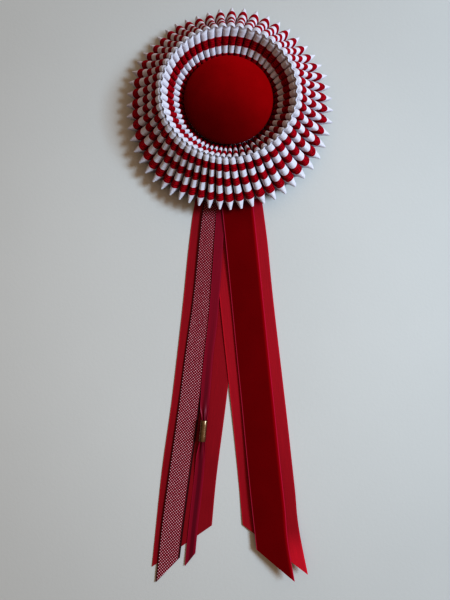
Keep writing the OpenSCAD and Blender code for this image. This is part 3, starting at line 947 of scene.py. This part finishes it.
def crimped_tube(finish):
    """The gold tube: a thin wall, a little narrower at its middle, with rounded ends."""
    top, low = np.array(TUBE_TOP), np.array(TUBE_LOW)
    long = float(np.linalg.norm(top - low))
    bpy.ops.mesh.primitive_cylinder_add(vertices=48, radius=TUBE_RADIUS * MM, depth=long * MM,
                                        end_fill_type="NOTHING", location=(0, 0, 0))
    piece = bpy.context.object
    piece.name = "crimp_tube"
    edit_all(bpy.ops.mesh.subdivide, number_cuts=3)
    points = points_of(piece.data)
    r = np.hypot(points[:, 0], points[:, 1])
    end = np.abs(points[:, 2]) / (long * MM / 2)
    waist = 1 - 0.03 * np.clip(1 - end * 1.6, 0, 1)
    points[:, :2] *= (TUBE_RADIUS * MM / r * waist)[:, None]
    move_points(piece.data, points)
    modifier(piece, "SOLIDIFY", thickness=0.28 * MM, offset=-1)
    modifier(piece, "BEVEL", width=0.08 * MM, segments=2, limit_method="ANGLE", angle_limit=math.radians(50))
    run = math.atan2(top[0] - low[0], top[1] - low[1])
    piece.rotation_euler = (math.pi / 2, 0, -run)
    piece.location = tuple((top + low) / 2 * MM)
    settle(piece, finish)
    return piece


def block(size, place):
    bpy.ops.mesh.primitive_cube_add(size=1, location=in_metres(place))
    piece = bpy.context.object
    piece.scale = in_metres(size)
    bpy.ops.object.transform_apply(scale=True)
    return piece


def rod(radius, long, place, turned=(0, 0, 0), sides=24):
    bpy.ops.mesh.primitive_cylinder_add(vertices=sides, radius=radius * MM, depth=long * MM,
                                        location=in_metres(place), rotation=turned)
    return bpy.context.object


def hoop(radius, thick, place, turned, sides):
    bpy.ops.mesh.primitive_torus_add(major_segments=sides, minor_segments=12, major_radius=radius * MM,
                                     minor_radius=thick * MM, location=in_metres(place), rotation=turned)
    return bpy.context.object


# Where the pin's hinge and catch are along its bar, how high its wire is, where the wire starts to
# taper, and how thick its end is against the rest
HINGE_AT, CATCH_AT = -15, 14.6
WIRE_HIGH = 1.6
TAPER_FROM, POINT_SHARE = 11, 0.12
ACROSS_BAR, ALONG_BAR = (math.pi / 2, 0, 0), (0, math.pi / 2, 0)


def brooch(finish):
    """The pin: a bar, two cheeks with a rivet and the wire's coil between them, the pointed wire, and a
    closed ring on a foot that takes its point."""
    bar = block((34, 5, 0.8), (0, 0, 5.4))
    modifier(bar, "BEVEL", width=0.22 * MM, segments=3, limit_method="ANGLE")
    cheeks = [block((3.4, 0.6, 4.0), (HINGE_AT, side * 1.65, 3.3)) for side in (-1, 1)]
    for cheek in cheeks:
        modifier(cheek, "BEVEL", width=0.2 * MM, segments=2)
    rivet = rod(0.55, 3.8, (HINGE_AT, 0, 2.2), ACROSS_BAR, 28)
    modifier(rivet, "BEVEL", width=0.12 * MM, segments=2)
    coil = hoop(1.0, 0.42, (HINGE_AT, 0, 2.2), ACROSS_BAR, 28)
    wire = rod(0.45, 29.5, (0.4, 0, WIRE_HIGH), ALONG_BAR)
    bpy.ops.object.transform_apply(location=True, rotation=True)
    edit_all(bpy.ops.mesh.bisect, plane_co=(TAPER_FROM * MM, 0, 0), plane_no=(1, 0, 0))
    points = points_of(wire.data)
    middle = np.array([0, WIRE_HIGH * MM])
    end = points[:, 0] > CATCH_AT * MM
    points[end, 1:] = middle + (points[end, 1:] - middle) * POINT_SHARE
    move_points(wire.data, points)
    ring = hoop(1.5, 0.45, (CATCH_AT, 0, 2.5), ALONG_BAR, 32)
    foot = rod(0.9, 1.6, (CATCH_AT, 0, 4.3))
    modifier(foot, "BEVEL", width=0.15 * MM, segments=2)
    parts = [bar, *cheeks, rivet, coil, wire, ring, foot]
    for part in parts:
        settle(part, finish)
    choose(bar)
    for part in parts:
        part.select_set(True)
    bpy.ops.object.join()
    bar.name = bar.data.name = "brooch_fitting"
    bar.select_set(False)
    return bar


# Making it all

WHITE = (0.76, 0.70, 0.77)
RED = (0.34, 0.001, 0.012)
# Both red tails are the same ribbon; the right one's lighter colour is painted light
LEFT_RED, RIGHT_RED = (0.33, 0.008, 0.020), (0.41, 0.009, 0.024)
BUTTON_PILE = (0.15, 0.0, 0.001), (0.24, 0.0, 0.004)
TAIL_PILE = (0.145, 0.0, 0.002), (0.19, 0.0, 0.004)

bpy.context.scene.view_settings.view_transform = "Standard"
bpy.context.scene.view_settings.look = "High Contrast"
camera_at_photo_angle()
window_light("window", (1.28, 0.02, 1.10), (0, -0.1, 0), 0.5, 26.0, (0.58, 0.81, 1.0))
room_light((1.0, 0.79, 0.57), 0.225, (0.66, 0.52, 0.55), 1.15, 0.05)

bpy.ops.mesh.primitive_plane_add(size=6)
table = bpy.context.object
table.name = "table_top"
table.data.materials.append(table_paint("table_paint"))

skirt, skirt_long = pleated_skirt(striped_grosgrain("striped_grosgrain", SKIRT_TURNS, WHITE, RED, 0.55))
cup, cup_long = pleated_cup(striped_grosgrain("inner_grosgrain", CUP_TURNS, WHITE, RED, 0.8))
button = padded_button(velvet("button_velvet", *BUTTON_PILE))
crimp = crimped_tube(rolled_brass("rolled_brass"))
fitting = brooch(plated_steel("plated_steel"))
disc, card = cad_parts["back_disc"], grey_card("grey_card")
for place in disc.material_slots:
    place.material = card
if not disc.material_slots:
    disc.data.materials.append(card)

left_tail = ribbon("left_ribbon", RED_LEFT_ROWS, plain_grosgrain("red_ribbon", LEFT_RED, 41.6),
                   shape=ripples(3, 0.15))
right_tail = ribbon("right_ribbon", RED_RIGHT_ROWS,
                    plain_grosgrain("red_ribbon_right", RIGHT_RED, 41.6, 0.5), shape=ripples(8, 0.15))
mesh_tail = ribbon("net_ribbon", MESH_ROWS, mesh_ribbon("net_ribbon_cloth", 16.7), shape=ripples(5, 0.12))
velvet_tail = ribbon("velvet_ribbon", VELVET_ROWS, velvet("tail_velvet_pile", *TAIL_PILE, 24.8),
                     thick=0.6, shape=ripples(12, 0.12, 0.25))
narrow_tail = ribbon("satin_ribbon", NARROW_ROWS, satin_ribbon("wine_satin", (0.25, 0.004, 0.026), 6.95),
                     thick=0.3, pieces=160, columns=16, shape=gathered_at_tube)

PARTS = (
    # piece, the node that it stands for, the record's slot
    (skirt, "outer_skirt", "grosgrain"),
    (cup, "inner_cup", "grosgrain"),
    (button, "velvet_button", "velvet"),
    (crimp, "gold_tube", "gold"),
    (fitting, "brooch_pin", "pin_steel"),
    (left_tail[0], "tail_red_left", "red_ribbon"),
    (right_tail[0], "tail_red_right", "red_ribbon"),
    (mesh_tail[0], "tail_mesh", "mesh_ribbon"),
    (velvet_tail[0], "tail_velvet", "velvet_ribbon"),
    (narrow_tail[0], "tail_narrow", "satin"))
for piece, node, slot in PARTS:
    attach(piece, "root")
    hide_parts(node)
